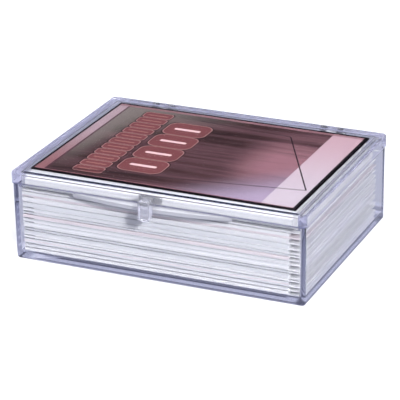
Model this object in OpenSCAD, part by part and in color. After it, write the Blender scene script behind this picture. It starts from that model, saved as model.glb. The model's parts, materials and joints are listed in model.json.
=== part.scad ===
// Clear hinged box for trading cards, closed and full of cards.
// The frame: +X to the right along the long side, -Y to the front, +Z up,
// with the origin at the centre of the face that the box rests on.

/* [Box] */
// Width of the closed box, over the lid's long side
box_w = 98; // [98:0.5:110]
// Depth of the closed box, over the lid's short side, without hinge and latch
box_d = 73.5; // [73.5:0.5:85]
// Height of the closed box
box_h = 29.5; // [29.5:0.5:40]
// Radius of the lid's upright corners
corner_r = 1.6; // [1.5:0.1:4]

/* [Base] */
// How far the lid's outer faces stand proud of the base's
overhang = 0.4; // [0.2:0.1:0.6]
// Thickness of the base's walls
base_wall = 1.5; // [1.2:0.1:1.6]
// Thickness of the base's floor
floor_t = 1.9; // [1.2:0.1:2.2]

/* [Lid] */
// Thickness of the lid's top panel
lid_top_t = 1.5; // [1.2:0.1:1.5]
// Height of the lid's skirt, from its lower edge to the top face
skirt_h = 4; // [3.8:0.1:5]
// Gap between the base's rim and the lid's skirt
seam_gap = 0.05; // [0.03:0.01:0.1]
// Depth of the tongue that drops inside the base's rim
tongue_h = 1.5; // [1:0.1:2]
// Thickness of the tongue
tongue_t = 1; // [0.8:0.1:1.2]
// Gap between the tongue and the base's wall
tongue_gap = 0.1; // [0.1:0.05:0.2]

/* [Latch] */
// Sideways place of the latch and the lip, from the middle of the front
latch_x = -1; // [-5:0.5:5]
// Width of the crescent lip along the base's front
lip_w = 53; // [30:1:60]
// How far the lip stands out from the base's wall at its middle
lip_out = 2.6; // [1.5:0.1:3]
// Thickness of the lip
lip_t = 1.5; // [1:0.1:2]
// Width of the latch tab
tab_w = 3.7; // [3:0.1:8]
// How far the latch tab stands out from the lid's skirt
tab_out = 5.5; // [5:0.1:7]
// Height of the latch tab's hanging leg
tab_h = 6.6; // [6:0.1:7]
// Thickness of the arm that joins the leg to the skirt
tab_arm_t = 2.2; // [1.5:0.1:2.4]
// Gap between the latch tab and the lip
tab_gap = 0.15; // [0.1:0.05:0.3]
// Width of the tab's flared root on the skirt
tab_root_w = 8; // [5:0.5:12]

/* [Hinge] */
// Distance from the middle of the box to the middle of each hinge
hinge_x = 30; // [15:1:36]
// Radius of the hinge knuckles
knuckle_r = 1.8; // [1.6:0.05:1.9]
// Radius of the moulded hinge pins
pin_r = 0.8; // [0.7:0.05:0.9]
// Gap round a pin in its ear's bore
pin_gap = 0.05; // [0.03:0.01:0.08]
// Gap between the knuckles and the lid's rear face
knuckle_gap = 0.25; // [0.2:0.05:0.4]
// Width of the base's knuckle
lug_w = 3.2; // [2.4:0.1:4]
// Width of each of the lid's two ears
ear_w = 2.2; // [1.6:0.1:3]
// Sideways gap between the base's knuckle and an ear
ear_gap = 0.15; // [0.1:0.05:0.3]

/* [Cards] */
// Number of cards in the box
card_count = 57; // [50:1:57]
// Length of a card
card_w = 88.9; // [88:0.1:89]
// Width of a card
card_d = 63.5; // [63:0.1:64]
// Thickness of a card
card_t = 0.43; // [0.3:0.01:0.43]
// Air between a card and the next one
card_gap = 0.02; // [0.01:0.01:0.02]
// Sideways place of most cards, near the left wall
stack_x = -1.4; // [-1.4:0.1:0.8]
// Place of most cards towards the hinge, near the front wall
stack_y = -2.8; // [-2.8:0.1:-1.7]
// Sideways place of the cards that have slid against the right wall
slid_x = 2.1; // [-0.8:0.1:2.1]
// Place towards the hinge of the cards that have slid against the right wall
slid_y = -2.3; // [-2.6:0.1:-1.3]
// Sideways place of the cards inside the tongue
tongue_stack_x = -0.4; // [-0.8:0.1:0.8]
// Place of the cards inside the tongue towards the hinge
tongue_stack_y = -1.7; // [-1.7:0.1:1.7]
// Place of the top card towards the hinge
top_card_y = 1.4; // [-1.3:0.05:1.4]
// Turn of the top card in the box, in degrees
top_card_turn = -0.6; // [-0.6:0.1:0.6]

/* [Hidden] */
$fn = 96;

// The base's outer size, and both parts' inner sizes
base_w = box_w - 2 * overhang;
base_d = box_d - 2 * overhang;
base_r = corner_r - overhang;
well_w = base_w - 2 * base_wall;
well_d = base_d - 2 * base_wall;
well_r = 0.8;
tongue_outer_w = well_w - 2 * tongue_gap;
tongue_outer_d = well_d - 2 * tongue_gap;
tongue_inner_w = tongue_outer_w - 2 * tongue_t;
tongue_inner_d = tongue_outer_d - 2 * tongue_t;
tongue_r = 0.7;
tongue_inner_r = 0.5;

// Heights of the seam between the parts
skirt_z = box_h - skirt_h;
rim_z = skirt_z - seam_gap;

// The lip's arc goes through both of its tips and its middle
lip_arc_r = (lip_w * lip_w / 4 + lip_out * lip_out) / (2 * lip_out);
lip_front_y = -base_d / 2 - lip_out;

// The latch tab's faces
tab_front_y = -box_d / 2 - tab_out;
tab_back_y = lip_front_y - tab_gap;
tab_top_z = box_h - 0.8;
tab_corner_r = 0.9;

// The hinge's axis, level with the seam and behind the lid's rear face
axis_y = box_d / 2 + knuckle_gap + knuckle_r;
axis_z = skirt_z;
ear_x = lug_w / 2 + ear_gap;
pin_len = 2 * (ear_x + ear_w);
snap_slot_w = 1.3;
lug_foot_z = axis_z - 6;
ear_top_z = box_h - 0.5;

// The lowest card lies just clear of the floor
stack_z = floor_t + 0.05;
card_step = card_t + card_gap;
// Cards below this one lie wholly under the tongue
tongue_card = floor((skirt_z - tongue_h - 0.1 - stack_z - card_t) / card_step) + 2;

// Cards that have slid against the right wall, counted from the bottom
slid_cards = [1, 2, 5, 8, 12, 14, 18, 20, 24, 27, 30, 32, 35, 39, 43, 47];

function card_name(i) = str("card_", i < 10 ? "0" : "", i);

// Flat outline with rounded corners, centred on the origin
module rounded_outline(w, d, r) {
    square([w - 2 * r, d], center = true);
    square([w, d - 2 * r], center = true);
    for (x = [-1, 1], y = [-1, 1])
        translate([x * (w / 2 - r), y * (d / 2 - r)])
            circle(r = r);
}

// Block with rounded upright edges between two heights
module rounded_block(w, d, r, z0, z1) {
    translate([0, 0, z0])
        linear_extrude(height = z1 - z0)
            rounded_outline(w, d, r);
}

// Places its children at both hinges
module at_hinges() {
    for (side = [-1, 1])
        translate([side * hinge_x, 0, 0])
            children();
}

// A plate across the hinge axis, from a flat outline in Y and Z
module across_axis(x0, w) {
    translate([x0, 0, 0])
        rotate([90, 0, 90])
            linear_extrude(height = w)
                children();
}

// Crescent lip that the latch tab hangs in front of
module lip() {
    translate([latch_x, 0, rim_z - lip_t])
        linear_extrude(height = lip_t)
            intersection() {
                translate([0, lip_front_y + lip_arc_r])
                    circle(r = lip_arc_r, $fn = 720);
                translate([-lip_w / 2, lip_front_y - 1])
                    square([lip_w, lip_out + 1 + base_wall / 2]);
            }
}

// Middle knuckle of a hinge with its gusset down the base's rear wall
module lug() {
    across_axis(-lug_w / 2, lug_w) {
        translate([axis_y, axis_z])
            circle(r = knuckle_r);
        polygon([
            [base_d / 2 - base_wall / 2, lug_foot_z],
            [base_d / 2, lug_foot_z],
            [axis_y + knuckle_r * cos(30), axis_z - knuckle_r * sin(30)],
            [axis_y, axis_z],
            [base_d / 2 - base_wall / 2, rim_z]
        ]);
    }
}

// Pin moulded through a knuckle, standing out on both sides
module pin() {
    translate([-pin_len / 2, axis_y, axis_z])
        rotate([0, 90, 0])
            cylinder(r = pin_r, h = pin_len);
}

// Snap-on ear of the lid, open below for pressing over the pin
module ear(x0) {
    difference() {
        across_axis(x0, ear_w) {
            translate([axis_y, axis_z])
                circle(r = knuckle_r);
            polygon([
                [box_d / 2 - base_wall / 2, skirt_z],
                [axis_y, skirt_z],
                [axis_y + knuckle_r, axis_z],
                [axis_y + knuckle_r * cos(45), axis_z + knuckle_r * sin(45)],
                [box_d / 2, ear_top_z],
                [box_d / 2 - base_wall / 2, ear_top_z]
            ]);
        }
        translate([x0 - 1, axis_y, axis_z])
            rotate([0, 90, 0])
                cylinder(r = pin_r + pin_gap, h = ear_w + 2);
        translate([x0 - 1, axis_y - snap_slot_w / 2, axis_z - knuckle_r - 1])
            cube([ear_w + 2, snap_slot_w, knuckle_r + 1]);
    }
}

// Arm with a flared root and the hanging leg of the latch
module latch_tab() {
    arm_z = tab_top_z - tab_arm_t;
    leg_z = tab_top_z - tab_h;
    leg_d = tab_back_y - tab_front_y;
    translate([latch_x, 0, arm_z])
        linear_extrude(height = tab_arm_t)
            polygon([
                [-tab_root_w / 2, -box_d / 2 + 1],
                [-tab_root_w / 2, -box_d / 2],
                [-tab_w / 2, tab_back_y],
                [-tab_w / 2, tab_back_y - leg_d / 2],
                [tab_w / 2, tab_back_y - leg_d / 2],
                [tab_w / 2, tab_back_y],
                [tab_root_w / 2, -box_d / 2],
                [tab_root_w / 2, -box_d / 2 + 1]
            ]);
    translate([latch_x, tab_back_y, leg_z + tab_h / 2])
        rotate([90, 0, 0])
            linear_extrude(height = leg_d)
                rounded_outline(tab_w, tab_h, tab_corner_r);
}

module base() {
    color("lavender", 0.5) {
        difference() {
            rounded_block(base_w, base_d, base_r, 0, rim_z);
            rounded_block(well_w, well_d, well_r, floor_t, rim_z + 1);
        }
        lip();
        at_hinges() {
            lug();
            pin();
        }
    }
}

module lid() {
    color("ghostwhite", 0.5) {
        difference() {
            union() {
                rounded_block(box_w, box_d, corner_r, skirt_z, box_h);
                rounded_block(tongue_outer_w, tongue_outer_d, tongue_r, skirt_z - tongue_h, skirt_z + 1);
            }
            rounded_block(tongue_inner_w, tongue_inner_d, tongue_inner_r, skirt_z - tongue_h - 1, box_h - lid_top_t);
        }
        latch_tab();
        at_hinges() {
            ear(ear_x);
            ear(-ear_x - ear_w);
        }
    }
}

function is_slid(i) = len([for (k = slid_cards) if (k == i) k]) > 0;

// Sideways place of card number i. The lowest two stand off the foot of the well's walls.
function card_x(i) =
    i >= tongue_card ? tongue_stack_x :
    is_slid(i) ? slid_x - 0.3 * max(0, 3 - i) :
    stack_x;

// Place of card number i towards the hinge: those inside the tongue stand clear of it,
// and the top one has slid back
function card_y(i) =
    i == card_count ? top_card_y :
    i >= tongue_card ? tongue_stack_y :
    is_slid(i) ? slid_y + 0.3 * max(0, 3 - i) :
    stack_y;

// Card number i, counted from the bottom, a little out of line as a hand-filled stack is
module card(i) {
    slip_x = 0.1 * sin(i * 137) + 0.05 * sin(i * 61);
    slip_y = 0.07 * sin(i * 101) + 0.05 * sin(i * 223);
    turn = i == card_count ? top_card_turn : 0.05 * sin(i * 83);
    color(i == card_count ? "rosybrown" : "white")
        translate([card_x(i) + slip_x, card_y(i) + slip_y, stack_z + (i - 1) * card_step])
            rotate([0, 0, turn])
                translate([-card_w / 2, -card_d / 2, 0])
                    cube([card_w, card_d, card_t]);
}

base();
lid();
for (i = [1:card_count])
    card(i);
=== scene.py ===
"""A clear hinged trading card box, full of cards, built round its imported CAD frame."""

import json
import math

import bmesh
import bpy
from mathutils import Matrix, Vector


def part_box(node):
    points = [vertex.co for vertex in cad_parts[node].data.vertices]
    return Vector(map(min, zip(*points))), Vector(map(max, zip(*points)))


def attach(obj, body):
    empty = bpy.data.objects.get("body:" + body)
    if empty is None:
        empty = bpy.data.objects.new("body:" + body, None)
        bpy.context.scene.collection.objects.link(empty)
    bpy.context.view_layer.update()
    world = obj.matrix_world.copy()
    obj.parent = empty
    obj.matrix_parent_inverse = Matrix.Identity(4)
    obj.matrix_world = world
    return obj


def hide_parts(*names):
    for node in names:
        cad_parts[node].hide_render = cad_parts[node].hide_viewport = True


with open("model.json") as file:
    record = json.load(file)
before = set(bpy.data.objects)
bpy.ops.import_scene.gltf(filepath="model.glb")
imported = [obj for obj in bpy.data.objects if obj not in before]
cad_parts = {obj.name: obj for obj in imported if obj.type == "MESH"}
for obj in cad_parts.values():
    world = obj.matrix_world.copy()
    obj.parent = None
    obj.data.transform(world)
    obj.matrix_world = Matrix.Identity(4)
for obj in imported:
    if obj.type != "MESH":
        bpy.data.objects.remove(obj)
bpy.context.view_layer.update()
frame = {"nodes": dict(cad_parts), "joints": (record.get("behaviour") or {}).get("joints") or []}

MM = 0.001

# ---------------------------------------------------------------- places from the frame
lid_lo, lid_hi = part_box("lid")
CARD_NODES = sorted(n for n in frame["nodes"] if n.startswith("card_"))
TOP_CARD = CARD_NODES[-1]
card_lo, card_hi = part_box(TOP_CARD)
CARD_MIDDLE = (card_lo + card_hi) / 2
STACK_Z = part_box(CARD_NODES[0])[0].z
CARD_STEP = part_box(CARD_NODES[1])[0].z - STACK_Z
hinge = frame["joints"][0]
AXIS_Y, AXIS_Z = hinge["pos_m"][1], hinge["pos_m"][2]

LID_W = lid_hi.x - lid_lo.x
LID_D = 73.5 * MM
TOP_Z = lid_hi.z
SEAM_Z = AXIS_Z
SEAM_GAP = 0.05 * MM
RIM_Z = SEAM_Z - SEAM_GAP
OVERHANG = 0.4 * MM
LID_R = 1.6 * MM
PANEL_T = 1.5 * MM
FLOOR_T = 1.9 * MM
WALL_T = 1.5 * MM
TONGUE_H = 1.5 * MM
TONGUE_GAP = 0.1 * MM
TONGUE_T = 1.0 * MM
DRAFT = 0.1 * MM
LATCH_X = -1.0 * MM
BASE_D = LID_D - 2 * OVERHANG
LIP_OUT = 2.6 * MM
LATCH_BACK_Y = -BASE_D / 2 - LIP_OUT - 0.15 * MM
LATCH_TOP_Z = TOP_Z - 0.8 * MM
LATCH_HALF_W = 1.85 * MM

# ---------------------------------------------------------------- mesh helpers
CORNER_STEPS = 12


def rounded_ring(half_w, half_d, radius, z, steps=CORNER_STEPS):
    """Points of a rounded rectangle at height z, anticlockwise from above."""
    ring = []
    for sx, sy, start in ((1, 1, 0), (-1, 1, 90), (-1, -1, 180), (1, -1, 270)):
        for k in range(steps + 1):
            a = math.radians(start + 90 * k / steps)
            x = sx * (half_w - radius) + radius * math.cos(a)
            y = sy * (half_d - radius) + radius * math.sin(a)
            ring.append(Vector((x, y, z)))
    return ring


def arc(inset, z, radius, start, end, steps=6):
    """(inset, z) points of an arc in a wall's profile. Angles run from the inset axis towards +Z."""
    points = []
    for k in range(steps + 1):
        a = math.radians(start + (end - start) * k / steps)
        points.append((inset + radius * math.cos(a), z + radius * math.sin(a)))
    return points


def new_mesh_object(name, bm):
    """Turns a bmesh into an object of the scene with its normals facing out."""
    bmesh.ops.remove_doubles(bm, verts=bm.verts, dist=1e-7)
    bmesh.ops.recalc_face_normals(bm, faces=bm.faces)
    mesh = bpy.data.meshes.new(name)
    bm.to_mesh(mesh)
    bm.free()
    ob = bpy.data.objects.new(name, mesh)
    bpy.context.scene.collection.objects.link(ob)
    return ob


def loft(name, rings):
    """Closed solid through rings of equally many points, capped at both ends."""
    bm = bmesh.new()
    loops = [[bm.verts.new(p) for p in ring] for ring in rings]
    count = len(rings[0])
    for low, high in zip(loops, loops[1:]):
        for k in range(count):
            bm.faces.new((low[k], low[(k + 1) % count], high[(k + 1) % count], high[k]))
    bm.faces.new(reversed(loops[0]))
    bm.faces.new(loops[-1])
    return new_mesh_object(name, bm)


def prism(name, outline, direction, bevel=0.0):
    """Solid pushed out from a flat outline of 3-D points, with its edges rounded."""
    bm = bmesh.new()
    face = bm.faces.new([bm.verts.new(p) for p in outline])
    made = bmesh.ops.extrude_face_region(bm, geom=[face])
    far_end = [g for g in made["geom"] if isinstance(g, bmesh.types.BMVert)]
    bmesh.ops.translate(bm, vec=direction, verts=far_end)
    bmesh.ops.recalc_face_normals(bm, faces=bm.faces)
    if bevel:
        sharp = [e for e in bm.edges if e.is_manifold and e.calc_face_angle(0) > math.radians(35)]
        bmesh.ops.bevel(bm, geom=sharp, offset=bevel, segments=3, profile=0.5, affect="EDGES")
    return new_mesh_object(name, bm)


def boolean(ob, others, operation):
    """Unites the others with ob or cuts them from it, and removes them."""
    for other in others:
        mod = ob.modifiers.new("boolean", "BOOLEAN")
        mod.operation = operation
        mod.solver = "EXACT"
        mod.object = other
        bpy.context.view_layer.update()
        done = bpy.data.meshes.new_from_object(ob.evaluated_get(bpy.context.evaluated_depsgraph_get()))
        ob.modifiers.remove(mod)
        ob.data = done
    for other in others:
        bpy.data.objects.remove(other)
    return ob


def smooth(ob):
    """Shades the rounded stretches smooth and keeps the flat ones flat."""
    sharpest = math.radians(40)
    ob.data.shade_smooth()
    mod = ob.modifiers.new("weighted_normal", "WEIGHTED_NORMAL")
    mod.weight = 100
    mod.keep_sharp = True
    bm = bmesh.new()
    bm.from_mesh(ob.data)
    for e in bm.edges:
        e.smooth = e.is_manifold and e.calc_face_angle(0) < sharpest
    bm.to_mesh(ob.data)
    bm.free()


def shell(name, half_w, half_d, outer_r, profile):
    """Tray or lid swept round the box: profile is (inset from the outer face, z) from cap to cap."""
    rings = []
    for inset, z in profile:
        radius = max(outer_r - inset, 0.5 * MM)
        rings.append(rounded_ring(half_w - inset, half_d - inset, radius, z))
    return loft(name, rings)


# ---------------------------------------------------------------- the base
def lip():
    """Crescent along the front of the base, under the latch."""
    half, thickness, edge, steps = 26.5 * MM, 1.5 * MM, 0.35 * MM, 64
    radius = (half * half + LIP_OUT * LIP_OUT) / (2 * LIP_OUT)
    wall_y, rooted_y = -BASE_D / 2, -BASE_D / 2 + 0.8 * MM
    top, bottom = RIM_Z, RIM_Z - thickness
    rings = []
    profile = arc(-edge, bottom + edge, edge, -90, 0) + arc(-edge, top - edge, edge, 0, 90)
    for grow, z in profile:
        ring = []
        for k in range(steps + 1):
            x = -half + 2 * half * k / steps
            bulge = math.sqrt(radius * radius - x * x) - (radius - LIP_OUT) + grow
            ring.append(Vector((LATCH_X + x, wall_y - max(bulge, -0.4 * MM), z)))
        ring.append(Vector((LATCH_X + half, rooted_y, z)))
        ring.append(Vector((LATCH_X - half, rooted_y, z)))
        rings.append(ring)
    return loft("lip", rings)


KNUCKLE_R = 1.8 * MM
PIN_R = 0.8 * MM
LUG_HALF = 1.6 * MM
EAR_IN = 1.75 * MM
EAR_OUT = 3.95 * MM
HINGE_XS = (-30 * MM, 30 * MM)
ROOT = 0.75 * MM


def round_axis(x, radius, start=0, end=360, steps=40):
    """Points round the hinge's axis in the plane at x. Angles run from +Y towards +Z."""
    points = []
    for k in range(steps + 1):
        a = math.radians(start + (end - start) * k / steps)
        points.append(Vector((x, AXIS_Y + radius * math.cos(a), AXIS_Z + radius * math.sin(a))))
    return points


def lug(x):
    """Base's middle knuckle with the gusset that runs down the rear wall."""
    x0 = x - LUG_HALF
    wall, foot_z, shoulder_z = BASE_D / 2 - ROOT, AXIS_Z - 6 * MM, RIM_Z - 0.9 * MM
    outline = [Vector((x0, wall, foot_z)), Vector((x0, BASE_D / 2 + 0.1 * MM, foot_z))]
    outline += round_axis(x0, KNUCKLE_R, -30, 160, 20)
    outline += [Vector((x0, BASE_D / 2, shoulder_z)), Vector((x0, wall, shoulder_z))]
    return prism("lug", outline, Vector((2 * LUG_HALF, 0, 0)), bevel=0.15 * MM)


def pin(x):
    """Hinge pin, with rounded ends."""
    length, edge = 2 * EAR_OUT, 0.2 * MM
    profile = ((0, PIN_R - edge), (edge, PIN_R), (length - edge, PIN_R), (length, PIN_R - edge))
    return loft("pin", [round_axis(x - EAR_OUT + along, radius)[:-1] for along, radius in profile])


def build_base():
    """Tray with its rim, lip, knuckles and pins in one moulding."""
    half_w, half_d = LID_W / 2 - OVERHANG, BASE_D / 2
    floor_r, foot_r, rim_r = 1.1 * MM, 0.9 * MM, 0.15 * MM
    profile = [(WALL_T + DRAFT + floor_r, FLOOR_T)]
    profile += arc(WALL_T + DRAFT + floor_r, FLOOR_T + floor_r, floor_r, 270, 180)[1:]
    profile += arc(WALL_T - rim_r, RIM_Z - rim_r, rim_r, 0, 90, 3)
    profile += arc(rim_r, RIM_Z - rim_r, rim_r, 90, 180, 3)
    profile += arc(DRAFT + foot_r, foot_r, foot_r, 180, 270)
    tray = shell("base_shell", half_w, half_d, LID_R - OVERHANG, profile)
    extras = [lip()]
    for x in HINGE_XS:
        extras += [lug(x), pin(x)]
    return boolean(tray, extras, "UNION")


# ---------------------------------------------------------------- the lid
def ear(x):
    """Lid's snap-on ear with its bore and the slot under it."""
    width = EAR_OUT - EAR_IN
    skirt, low_z, high_z = LID_D / 2 - ROOT, SEAM_Z + 0.1 * MM, TOP_Z - 0.6 * MM
    outline = [Vector((x, skirt, low_z)), Vector((x, LID_D / 2, low_z))]
    outline += round_axis(x, KNUCKLE_R, 185, 405, 28)
    outline += [Vector((x, LID_D / 2, high_z)), Vector((x, skirt, high_z))]
    body = prism("ear", outline, Vector((width, 0, 0)), bevel=0.15 * MM)
    x0, through = x - MM, Vector((width + 2 * MM, 0, 0))
    bore = prism("bore", round_axis(x0, PIN_R + 0.05 * MM)[:-1], through)
    left, right, below = AXIS_Y - 0.65 * MM, AXIS_Y + 0.65 * MM, AXIS_Z - KNUCKLE_R - MM
    corners = ((left, below), (right, below), (right, AXIS_Z), (left, AXIS_Z))
    slot = prism("slot", [Vector((x0, y, z)) for y, z in corners], through)
    return boolean(body, [bore, slot], "DIFFERENCE")


def latch_leg():
    """Rounded block that hangs in front of the lip."""
    half_h, corner, edge = 3.3 * MM, 0.9 * MM, 0.5 * MM
    middle_z = LATCH_TOP_Z - half_h
    rings = []
    profile = arc(edge, LATCH_BACK_Y - edge, edge, 90, 180) + arc(edge, lid_lo.y + edge, edge, 180, 270)
    for inset, y in profile:
        ring = rounded_ring(LATCH_HALF_W - inset, half_h - inset, corner - inset / 2, 0, 8)
        rings.append([Vector((LATCH_X + p.x, y, middle_z + p.y)) for p in ring])
    return loft("latch_leg", rings)


def latch_arm():
    """Arm with a flared root that joins the leg to the skirt."""
    skirt_y = -LID_D / 2
    flare = [(LATCH_HALF_W, LATCH_BACK_Y - 1.2 * MM), (LATCH_HALF_W, LATCH_BACK_Y + 0.4 * MM)]
    flare += [(2.2 * MM, LATCH_BACK_Y + 1.1 * MM), (2.9 * MM, LATCH_BACK_Y + 1.7 * MM)]
    flare += [(4.0 * MM, skirt_y), (4.0 * MM, skirt_y + 1.2 * MM)]
    outline = [Vector((LATCH_X + half_w, y, LATCH_TOP_Z)) for half_w, y in flare]
    outline += [Vector((LATCH_X - half_w, y, LATCH_TOP_Z)) for half_w, y in reversed(flare)]
    return prism("latch_arm", outline, Vector((0, 0, -2.2 * MM)), bevel=0.3 * MM)


def build_lid():
    """Top panel, skirt, tongue, latch tab and ears in one moulding."""
    half_w, half_d = LID_W / 2, LID_D / 2
    wall = OVERHANG + WALL_T + TONGUE_GAP + TONGUE_T
    ceiling_z, tongue_z = TOP_Z - PANEL_T, SEAM_Z - TONGUE_H
    arris_r, inner_r, tip_r, foot_r = 0.8 * MM, 0.4 * MM, 0.2 * MM, 0.15 * MM
    outside = wall - TONGUE_T
    profile = [(wall + inner_r, ceiling_z)]
    profile += arc(wall + inner_r, ceiling_z - inner_r, inner_r, 90, 180)[1:]
    profile += arc(wall - tip_r, tongue_z + tip_r, tip_r, 0, -90, 3)
    profile += arc(outside + tip_r, tongue_z + tip_r, tip_r, 270, 180, 3)
    profile += [(outside, SEAM_Z)]
    profile += arc(foot_r, SEAM_Z + foot_r, foot_r, 270, 180, 3)
    profile += arc(arris_r, TOP_Z - arris_r, arris_r, 180, 90, 8)
    cover = shell("lid_shell", half_w, half_d, LID_R, profile)
    extras = [latch_arm(), latch_leg()]
    for x in HINGE_XS:
        extras += [ear(x + EAR_IN), ear(x - EAR_OUT)]
    return boolean(cover, extras, "UNION")


# ---------------------------------------------------------------- materials
class Nodes:
    """Short names for building the nodes of a material or of the world."""

    def __init__(self, owner, output="ShaderNodeOutputMaterial"):
        owner.use_nodes = True
        self.owner = owner
        self.tree = owner.node_tree
        self.tree.nodes.clear()
        self.out = self.add(output)

    def add(self, kind, **values):
        """New node with its settings."""
        node = self.tree.nodes.new(kind)
        for key, value in values.items():
            setattr(node, key, value)
        return node

    def link(self, source, target):
        self.tree.links.new(source, target)

    def feed(self, socket, value):
        """Links a socket to the value, or sets it."""
        if isinstance(value, bpy.types.NodeSocket):
            self.link(value, socket)
        else:
            socket.default_value = value

    def maths(self, operation, a, b=0.0, clamp=False):
        """Result of a Math node."""
        node = self.add("ShaderNodeMath", operation=operation, use_clamp=clamp)
        self.feed(node.inputs[0], a)
        self.feed(node.inputs[1], b)
        return node.outputs[0]

    def mix(self, share, a, b):
        """Colour a where share is 0 and colour b where it is 1."""
        node = self.add("ShaderNodeMix", data_type="RGBA")
        self.feed(node.inputs[0], share)
        self.feed(node.inputs[6], a if isinstance(a, bpy.types.NodeSocket) else (*a, 1))
        self.feed(node.inputs[7], b if isinstance(b, bpy.types.NodeSocket) else (*b, 1))
        return node.outputs[2]

    def ramp(self, value, low, high, start=0.0, end=1.0):
        """start at low and end at high, smooth between."""
        node = self.add("ShaderNodeMapRange", interpolation_type="SMOOTHSTEP")
        self.feed(node.inputs["Value"], value)
        for socket, number in (("From Min", low), ("From Max", high), ("To Min", start), ("To Max", end)):
            node.inputs[socket].default_value = number
        return node.outputs["Result"]

    def place(self):
        """Where the surface is, as a vector and as its X, Y and Z, in metres."""
        where = self.add("ShaderNodeTexCoord").outputs["Object"]
        split = self.add("ShaderNodeSeparateXYZ")
        self.link(where, split.inputs[0])
        return where, split.outputs

    def noise(self, where, scale, stretch=(1, 1, 1), detail=2.0, rough=0.5):
        """Cloudy pattern from 0 to 1, with its grain stretched along some axes."""
        mapping = self.add("ShaderNodeMapping")
        self.link(where, mapping.inputs["Vector"])
        mapping.inputs["Scale"].default_value = stretch
        node = self.add("ShaderNodeTexNoise")
        self.link(mapping.outputs[0], node.inputs["Vector"])
        node.inputs["Scale"].default_value = scale
        node.inputs["Detail"].default_value = detail
        node.inputs["Roughness"].default_value = rough
        return node.outputs["Fac"]

    def bump(self, height, strength, distance, shader):
        """Presses the height into a shader's surface."""
        node = self.add("ShaderNodeBump")
        node.inputs["Strength"].default_value = strength
        node.inputs["Distance"].default_value = distance
        self.link(height, node.inputs["Height"])
        self.link(node.outputs[0], shader.inputs["Normal"])

    def pick_by_ray(self, kind, others, those):
        """Shows the second shader to one kind of ray, and the first to all others."""
        pick = self.add("ShaderNodeMixShader")
        self.link(self.add("ShaderNodeLightPath").outputs[kind], pick.inputs[0])
        self.link(others.outputs[0], pick.inputs[1])
        self.link(those.outputs[0], pick.inputs[2])
        self.link(pick.outputs[0], self.out.inputs["Surface"])


def new_material(name):
    """Nodes of a material of that name."""
    return Nodes(bpy.data.materials.new(name))


def clear_plastic(name, shadow, colour=(1, 1, 1), clarity=1.0, roughness=0.02):
    """Crystal polystyrene: bends light, tints it over its length and throws a faint shadow."""
    m = new_material(name)
    where, _ = m.place()
    glass = m.add("ShaderNodeBsdfPrincipled")
    glass.inputs["Base Color"].default_value = (*colour, 1)
    glass.inputs["Roughness"].default_value = roughness
    glass.inputs["IOR"].default_value = 1.55
    glass.inputs["Transmission Weight"].default_value = clarity
    m.bump(m.noise(where, 160.0, detail=1.0), 0.02, 0.5 * MM, glass)
    passing = m.add("ShaderNodeBsdfTransparent")
    passing.inputs["Color"].default_value = (*shadow, 1)
    m.pick_by_ray("Is Shadow Ray", glass, passing)
    tint = m.add("ShaderNodeVolumeAbsorption")
    tint.inputs["Color"].default_value = (0.44, 0.47, 0.63, 1)
    tint.inputs["Density"].default_value = 14.0
    m.link(tint.outputs[0], m.out.inputs["Volume"])
    return m.owner


def card_stock(name, core, ink, strength):
    """Cards seen edge on: pale cores with fibres, and a patchy printed layer on top."""
    m = new_material(name)
    where, (_, _, z) = m.place()
    fibres = m.noise(where, 900.0, (0.12, 0.12, 3.0), 3.0)
    patches = m.noise(where, 55.0, (1, 1, 9), 2.0)
    level = m.maths("FRACT", m.maths("DIVIDE", m.maths("SUBTRACT", z, STACK_Z), CARD_STEP))
    printed = m.maths("MULTIPLY", m.ramp(level, 0.72, 0.92), m.ramp(patches, 0.30, 0.62))
    printed = m.maths("MULTIPLY", printed, strength)
    amount = m.maths("ADD", printed, m.maths("MULTIPLY", fibres, 0.16), clamp=True)
    skin = m.add("ShaderNodeBsdfPrincipled")
    m.feed(skin.inputs["Base Color"], m.mix(amount, core, ink))
    skin.inputs["Roughness"].default_value = 0.6
    m.bump(fibres, 0.4, 0.05 * MM, skin)
    m.link(skin.outputs[0], m.out.inputs["Surface"])
    return m.owner


# the top card's print: u runs along the card and v across it, from its middle
HALF_U, HALF_V, CARD_TURN = 44.45 * MM, 31.75 * MM, math.radians(-0.6)
BAND_U, STRIP_U = 32.8 * MM, -39.8 * MM
FIELD_TOP, FIELD_BOTTOM = 29.2 * MM, -30.4 * MM


def hairline(m, u, v, start, end, width):
    """Mask of a thin straight line between two places on the card, given in mm from its middle."""
    (u0, v0), (u1, v1) = ([t * MM for t in place] for place in (start, end))
    length = math.hypot(u1 - u0, v1 - v0)
    du, dv = (u1 - u0) / length, (v1 - v0) / length
    ru, rv = m.maths("SUBTRACT", u, u0), m.maths("SUBTRACT", v, v0)
    along = m.maths("ADD", m.maths("MULTIPLY", ru, du), m.maths("MULTIPLY", rv, dv))
    across = m.maths("SUBTRACT", m.maths("MULTIPLY", ru, dv), m.maths("MULTIPLY", rv, du))
    near = m.ramp(m.maths("ABSOLUTE", across), width, width / 2)
    inside = m.maths("MULTIPLY", m.maths("GREATER_THAN", along, 0), m.maths("LESS_THAN", along, length))
    return m.maths("MULTIPLY", near, inside)


def rounded_mask(m, u, v, half_u, half_v, radius):
    """1 inside a rounded rectangle round the point where u and v are 0."""
    past_u = m.maths("MAXIMUM", m.maths("SUBTRACT", m.maths("ABSOLUTE", u), half_u - radius), 0)
    past_v = m.maths("MAXIMUM", m.maths("SUBTRACT", m.maths("ABSOLUTE", v), half_v - radius), 0)
    far = m.maths("ADD", m.maths("MULTIPLY", past_u, past_u), m.maths("MULTIPLY", past_v, past_v))
    far = m.maths("SQRT", far)
    return m.ramp(far, radius + 0.08 * MM, radius - 0.08 * MM)


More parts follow.
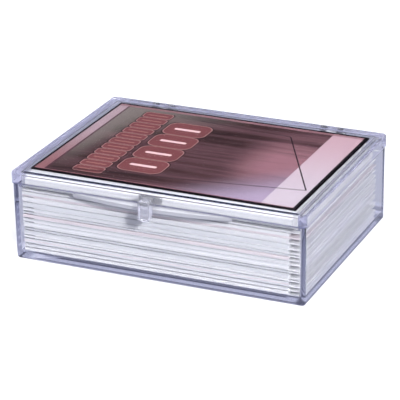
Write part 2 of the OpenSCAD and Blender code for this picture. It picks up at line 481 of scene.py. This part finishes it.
# each row of plain printed tiles: its middle, the tiles' size and number, and the bar on each of them
TILE_ROWS = (
    {"mid_u": -27.2 * MM, "low_v": -28.2 * MM, "high_v": 27.2 * MM, "count": 11, "half_u": 5.5 * MM,
     "bar_u": 3.6 * MM, "bar_v": 0.35 * MM, "bar": (0.30, 0.13, 0.12)},
    {"mid_u": -12.6 * MM, "low_v": -22.6 * MM, "high_v": 21.6 * MM, "count": 4, "half_u": 8.0 * MM,
     "bar_u": 4.6 * MM, "bar_v": 0.75 * MM, "bar": (0.80, 0.56, 0.56)},
)
# a tile's dark rim, pale outline and face, each with how far it lies inside the tile's edge
TILE_INKS = ((0.0, (0.012, 0.006, 0.007)), (0.35 * MM, (0.42, 0.22, 0.22)), (0.60 * MM, (0.17, 0.055, 0.058)))


def tiles(m, colour, u, v, mid_u, low_v, high_v, count, half_u, bar_u, bar_v, bar):
    """Row of rounded tiles along v, each with a pale outline and a bar."""
    pitch = (high_v - low_v) / count
    here_u = m.maths("SUBTRACT", u, mid_u)
    turn = m.maths("DIVIDE", m.maths("SUBTRACT", v, low_v), pitch)
    here_v = m.maths("MULTIPLY", m.maths("SUBTRACT", m.maths("FRACT", turn), 0.5), pitch)
    inside = m.maths("MULTIPLY", m.maths("GREATER_THAN", turn, 0), m.maths("LESS_THAN", turn, count))
    half_v, radius = pitch / 2 + 0.2 * MM, 0.3 * pitch
    for shrink, ink in TILE_INKS:
        mask = rounded_mask(m, here_u, here_v, half_u - shrink, half_v - shrink, radius - shrink / 2)
        colour = m.mix(m.maths("MULTIPLY", mask, inside), colour, ink)
    mask = rounded_mask(m, here_u, here_v, bar_u, bar_v, bar_v * 0.9)
    return m.mix(m.maths("MULTIPLY", mask, inside), colour, bar)


def card_field(m, where, u, v):
    """Dark streaked field with a red glow, a grey corner, a grey wedge and a lavender corner."""
    streaks = m.noise(where, 120.0, (0.12, 1.6, 1), 4.0, 0.6)
    grain = m.noise(where, 700.0, (0.5, 1, 1), 2.0)
    dark, brown, red = (0.020, 0.009, 0.010), (0.022, 0.009, 0.010), (0.31, 0.15, 0.18)
    grey, lavender = (0.17, 0.155, 0.14), (0.36, 0.29, 0.40)
    colour = m.mix(m.ramp(u, -34 * MM, 8 * MM), dark, brown)
    colour = m.mix(m.maths("MULTIPLY", m.ramp(streaks, 0.35, 0.75), 0.35), colour, red)
    middle = m.ramp(m.maths("ABSOLUTE", m.maths("SUBTRACT", v, 2 * MM)), 28 * MM, 4 * MM)
    glow = m.maths("MULTIPLY", m.ramp(u, 8 * MM, 24 * MM), m.ramp(streaks, 0.22, 0.55))
    glow = m.maths("MULTIPLY", m.maths("MULTIPLY", glow, middle), 0.85)
    colour = m.mix(glow, colour, red)
    slant = m.maths("SUBTRACT", v, m.maths("MULTIPLY", u, 0.9))
    colour = m.mix(m.ramp(slant, 18 * MM, 66 * MM), colour, grey)
    wedge = m.maths("MULTIPLY", m.ramp(u, STRIP_U + 8 * MM, STRIP_U), m.ramp(v, -34 * MM, 6 * MM))
    colour = m.mix(m.maths("MULTIPLY", wedge, 0.8), colour, (0.19, 0.165, 0.15))
    colour = m.mix(m.ramp(slant, -26 * MM, -56 * MM), colour, lavender)
    return m.mix(m.maths("MULTIPLY", grain, 0.10), colour, (0.24, 0.15, 0.15))


def card_sides(m, colour, u, v):
    """Pale band at one end, strip at the other and a rail along each long side."""
    band = m.mix(m.ramp(v, -24 * MM, 30 * MM), (0.53, 0.46, 0.51), (0.49, 0.33, 0.37))
    colour = m.mix(m.maths("GREATER_THAN", u, BAND_U), colour, band)
    strip = m.mix(m.ramp(v, -30 * MM, 14 * MM), (0.24, 0.11, 0.12), (0.38, 0.28, 0.31))
    colour = m.mix(m.maths("LESS_THAN", u, STRIP_U), colour, strip)
    from_line = m.maths("ABSOLUTE", m.maths("SUBTRACT", u, STRIP_U - 0.3 * MM))
    line = m.maths("LESS_THAN", from_line, 0.35 * MM)
    colour = m.mix(m.maths("MULTIPLY", line, 0.85), colour, (0.05, 0.02, 0.03))
    above, below = m.maths("GREATER_THAN", v, FIELD_TOP), m.maths("LESS_THAN", v, FIELD_BOTTOM)
    colour = m.mix(m.maths("MULTIPLY", above, 0.8), colour, (0.28, 0.14, 0.16))
    return m.mix(m.maths("MULTIPLY", below, 0.8), colour, (0.38, 0.17, 0.20))


def card_hairlines(m, colour, u, v):
    """One dark slanting line and three faint ones, with their ends and widths in mm."""
    top, tip, left = (20.7, 23.1), (41.8, -16.8), (0.8, -23.1)
    lines = hairline(m, u, v, top, tip, 0.30 * MM)
    for start, end, width in ((top, (-12, 25.5), 0.5), (tip, left, 0.5), (left, (-38.8, -28.0), 0.9)):
        faint = m.maths("MULTIPLY", hairline(m, u, v, start, end, width * MM), 0.55)
        lines = m.maths("MAXIMUM", lines, faint)
    return m.mix(lines, colour, (0.02, 0.013, 0.016))


def card_gap_shade(m, colour, u, v):
    """Black rim painted round the card's edge as painted shade of the gap round it, a little wider on one
    end.
    """
    sides = m.maths("GREATER_THAN", m.maths("ABSOLUTE", v), HALF_V - 1.0 * MM)
    left = m.maths("LESS_THAN", u, 0.8 * MM - HALF_U)
    right = m.maths("GREATER_THAN", u, HALF_U - 1.3 * MM)
    gap_shade = m.maths("MAXIMUM", m.maths("MAXIMUM", sides, left), right)
    return m.mix(gap_shade, colour, (0.002, 0.001, 0.002))


def card_art(name):
    """Top card's face: its print, with a grey wash towards one corner and a lavender wash towards the other.
    """
    m = new_material(name)
    where, (x, y, _) = m.place()
    x, y = m.maths("SUBTRACT", x, CARD_MIDDLE.x), m.maths("SUBTRACT", y, CARD_MIDDLE.y)
    along, across = math.cos(CARD_TURN), math.sin(CARD_TURN)
    u = m.maths("ADD", m.maths("MULTIPLY", x, along), m.maths("MULTIPLY", y, across))
    v = m.maths("SUBTRACT", m.maths("MULTIPLY", y, along), m.maths("MULTIPLY", x, across))
    colour = card_sides(m, card_field(m, where, u, v), u, v)
    for row in TILE_ROWS:
        colour = tiles(m, colour, u, v, **row)
    # the black rim round the card is painted shade of the gap between the card and the walls
    colour = card_gap_shade(m, card_hairlines(m, colour, u, v), u, v)
    ink = m.add("ShaderNodeBsdfPrincipled")
    m.feed(ink.inputs["Base Color"], colour)
    ink.inputs["Roughness"].default_value = 0.5
    ink.inputs["Specular IOR Level"].default_value = 0.0
    m.link(ink.outputs[0], m.out.inputs["Surface"])
    return m.owner


# ---------------------------------------------------------------- camera, light and floor
def look_from(azimuth, elevation, roll, target, distance):
    """Camera's place and turn: azimuth 0 looks along +Y, and roll turns it about its own axis."""
    a, e, r = (math.radians(t) for t in (azimuth, elevation, roll))
    back = Vector((math.sin(a) * math.cos(e), -math.cos(a) * math.cos(e), math.sin(e)))
    right = Vector((0, 0, 1)).cross(back).normalized()
    up = back.cross(right)
    right, up = right * math.cos(r) + up * math.sin(r), up * math.cos(r) - right * math.sin(r)
    turn = Matrix((right, up, back)).transposed().to_4x4()
    return Matrix.Translation(Vector(target) + back * distance) @ turn


def camera():
    """Long lens at the photograph's viewing angle."""
    data = bpy.data.cameras.new("camera")
    data.sensor_width = 36
    data.lens = 185.9
    data.clip_start, data.clip_end = 0.01, 20
    ob = bpy.data.objects.new("camera", data)
    bpy.context.scene.collection.objects.link(ob)
    ob.matrix_world = look_from(24.11, 22.78, -1.0, (0.80 * MM, -4.17 * MM, 14.755 * MM), 653.4 * MM)
    bpy.context.scene.camera = ob


def area_light(name, azimuth, elevation, distance, size, power):
    """Square white light, aimed at the box."""
    data = bpy.data.lights.new(name, "AREA")
    data.size = size
    data.energy = power
    ob = bpy.data.objects.new(name, data)
    bpy.context.scene.collection.objects.link(ob)
    ob.matrix_world = look_from(azimuth, elevation, 0, (0, 0, 0.015), distance)


def room():
    """Lavender-grey room with soft upright panels and a dark rear wall, white where it is seen directly."""
    world = bpy.data.worlds.new("studio")
    bpy.context.scene.world = world
    m = Nodes(world, "ShaderNodeOutputWorld")
    split = m.add("ShaderNodeSeparateXYZ")
    m.link(m.add("ShaderNodeTexCoord").outputs["Generated"], split.inputs[0])
    x, y, z = split.outputs
    dark_wall = m.maths("MULTIPLY", m.ramp(y, 0.3, 0.7), m.ramp(z, 0.0, 0.12))
    waves = m.maths("MULTIPLY", m.maths("ARCTAN2", x, y), 9.0)
    panels = m.ramp(m.maths("SINE", m.maths("ADD", waves, 1.6)), -0.95, -0.4, 0.08, 0.85)
    strength = m.add("ShaderNodeMapRange")
    strength.inputs["To Max"].default_value = 0.03
    m.link(dark_wall, strength.inputs["Value"])
    m.link(panels, strength.inputs["To Min"])
    walls, white = (m.add("ShaderNodeBackground") for _ in range(2))
    walls.inputs["Color"].default_value = (0.80, 0.82, 1.0, 1)
    m.link(strength.outputs["Result"], walls.inputs["Strength"])
    white.inputs["Color"].default_value = (1, 1, 1, 1)
    m.pick_by_ray("Is Camera Ray", walls, white)


def table_paper():
    """White paper where it is seen directly; to all other rays a dim lavender table that also glows, with
    rings of painted light and shade, for the plastic to see.
    """
    m = new_material("floor_paper")
    where, (x, y, _) = m.place()
    grain = m.noise(where, 40.0)
    paper = m.add("ShaderNodeBsdfDiffuse")
    m.feed(paper.inputs["Color"], m.mix(grain, (0.94, 0.94, 0.94), (0.96, 0.96, 0.96)))
    past_x = m.maths("SUBTRACT", m.maths("ABSOLUTE", x), LID_W / 2)
    past_y = m.maths("SUBTRACT", m.maths("ABSOLUTE", y), LID_D / 2)
    away = m.maths("MAXIMUM", past_x, past_y)
    # painted light and shade for the plastic to see: rings of brighter and darker glow round the box, darker
    # on its left side
    rings = m.ramp(m.maths("SINE", m.maths("DIVIDE", away, 1.3 * MM)), -0.5, 0.7)
    left = m.maths("LESS_THAN", m.maths("ADD", x, m.maths("MULTIPLY", m.maths("ABSOLUTE", y), 1.3)), 0)
    dark_rings = m.mix(rings, (0.03, 0.031, 0.055), (0.34, 0.35, 0.46))
    pale_rings = m.mix(rings, (0.26, 0.27, 0.36), (0.50, 0.51, 0.63))
    near = m.mix(left, dark_rings, pale_rings)
    far = m.mix(m.ramp(x, 0, 50 * MM), (0.24, 0.245, 0.31), (0.19, 0.195, 0.235))
    glow, dim, table = (m.add("ShaderNode" + kind) for kind in ("Emission", "BsdfDiffuse", "AddShader"))
    m.feed(glow.inputs["Color"], m.mix(m.ramp(away, 6 * MM, 14 * MM), near, far))
    m.feed(dim.inputs["Color"], m.mix(grain, (0.20, 0.205, 0.26), (0.22, 0.225, 0.28)))
    m.link(glow.outputs[0], table.inputs[0])
    m.link(dim.outputs[0], table.inputs[1])
    m.pick_by_ray("Is Camera Ray", table, paper)
    return m.owner


def studio():
    """Room, lights, floor and the settings that clear plastic needs."""
    room()
    area_light("key", 44, 29, 1.3, 0.1, 11.3)
    area_light("overhead", 0, 88, 1.1, 1.2, 11)
    area_light("front", -10, 20, 1.2, 0.8, 1.8)
    bm = bmesh.new()
    bmesh.ops.create_grid(bm, x_segments=1, y_segments=1, size=3.0)
    floor = new_mesh_object("floor", bm)
    floor.data.materials.append(table_paper())
    scene = bpy.context.scene
    scene.view_settings.view_transform = "Standard"
    scene.cycles.max_bounces = scene.cycles.glossy_bounces = scene.cycles.transmission_bounces = 32
    scene.cycles.transparent_max_bounces = 32


# ---------------------------------------------------------------- putting it together
camera()
studio()

# shadow's colour, surface's colour, clarity and roughness of each plastic; the last three are painted shade,
# dark and pale lines on the faces where the mouldings part
THIN = clear_plastic("clear_wall", (0.95, 0.95, 0.97))
LUMP = clear_plastic("clear_lump", (0.12, 0.12, 0.14), (0.93, 0.93, 0.97), 0.80, 0.04)
MILKY = clear_plastic("milky_lump", (0.12, 0.12, 0.14), (0.93, 0.93, 0.97), 0.55, 0.05)
# painted shade: darkened, nearly opaque plastic on the parting faces, in place of the dark and pale lines
# that refraction and shadow draw there
PAINTED_EDGE_SHADE = clear_plastic("painted_edge_shade", (0.20, 0.20, 0.22), (0.03, 0.033, 0.055), 0.10, 0.35)
PAINTED_PALE_SEAM_SHADE = clear_plastic("painted_pale_seam_shade", (0.45, 0.45, 0.50), (0.42, 0.42, 0.58), 0.40, 0.35)
PAINTED_SEAM_SHADE = clear_plastic("painted_seam_shade", (0.25, 0.25, 0.30), (0.06, 0.065, 0.14), 0.12, 0.35)


WALL, PROUD, TONGUE_FRONT, SEAM, SEAM_FRONT = range(5)


def plastic_of(face, wall_y, edge_zs):
    """Which plastic a face gets: edge_zs are the heights of the flat faces where the mouldings part, which
    take the painted shade plastics.
    """
    if abs(face.center.y) > wall_y + 0.05 * MM:
        return PROUD
    if abs(face.normal.z) <= 0.35 or all(abs(face.center.z - z) >= 0.16 * MM for z in edge_zs):
        return WALL
    front = face.center.y < 4 * MM - wall_y
    if face.center.z > SEAM_Z - MM:
        return SEAM_FRONT if front else SEAM
    return TONGUE_FRONT if front else WALL


def finish_shell(ob, body, lump, wall_y, edge_zs):
    """Gives a moulding its plastics, with painted shade on the faces where the mouldings part, and puts it in
    the place of its CAD node.
    """
    ob.data.materials.clear()
    for material in (THIN, lump, PAINTED_EDGE_SHADE, PAINTED_PALE_SEAM_SHADE, PAINTED_SEAM_SHADE):
        ob.data.materials.append(material)
    for face in ob.data.polygons:
        face.material_index = plastic_of(face, wall_y, edge_zs)
    smooth(ob)
    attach(ob, body)
    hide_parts(body)


finish_shell(build_base(), "base", MILKY, BASE_D / 2, (RIM_Z,))
finish_shell(build_lid(), "lid", LUMP, LID_D / 2, (SEAM_Z, SEAM_Z - TONGUE_H))

# core colour, printed layer's colour, and how strongly that layer shows
LOOKS = {
    "white": ((0.68, 0.68, 0.69), (0.36, 0.37, 0.40), 0.15),
    "bright": ((0.72, 0.72, 0.73), (0.40, 0.41, 0.44), 0.1),
    "cool": ((0.63, 0.635, 0.65), (0.34, 0.35, 0.38), 0.25),
    "pink": ((0.66, 0.60, 0.62), (0.46, 0.40, 0.42), 0.2),
    "grey": ((0.61, 0.62, 0.64), (0.24, 0.25, 0.27), 0.15),
    "lined": ((0.57, 0.58, 0.60), (0.14, 0.15, 0.17), 0.3),
}
stocks = {look: card_stock("stock_" + look, *numbers) for look, numbers in LOOKS.items()}
LINED, GREY, PINK = (7, 17, 19, 26, 31), (11, 23, 34, 36, 38), (28, 29, 43, 44, 10)
LAST_IN_WELL = 48
COMMON = ("white", "bright", "white", "cool", "white", "bright", "white")
# cards inside the lid never take the bright look: painted shade, dimmer under the lid
UNDER_LID_DIMMED = ("white", "cool", "white")


def look_of(number):
    """Which printed edge card number has, counted from the bottom, with the cards under the lid kept dimmer
    as painted shade.
    """
    for look, numbers in (("lined", LINED), ("grey", GREY), ("pink", PINK)):
        if number in numbers:
            return look
    if number > LAST_IN_WELL:
        return UNDER_LID_DIMMED[number % len(UNDER_LID_DIMMED)]
    return COMMON[number * 5 % len(COMMON)]


for number, node in enumerate(CARD_NODES, 1):
    for material_slot in frame["nodes"][node].material_slots:
        material_slot.material = stocks[look_of(number)]
for material_slot in frame["nodes"][TOP_CARD].material_slots:
    material_slot.material = card_art("card_art")
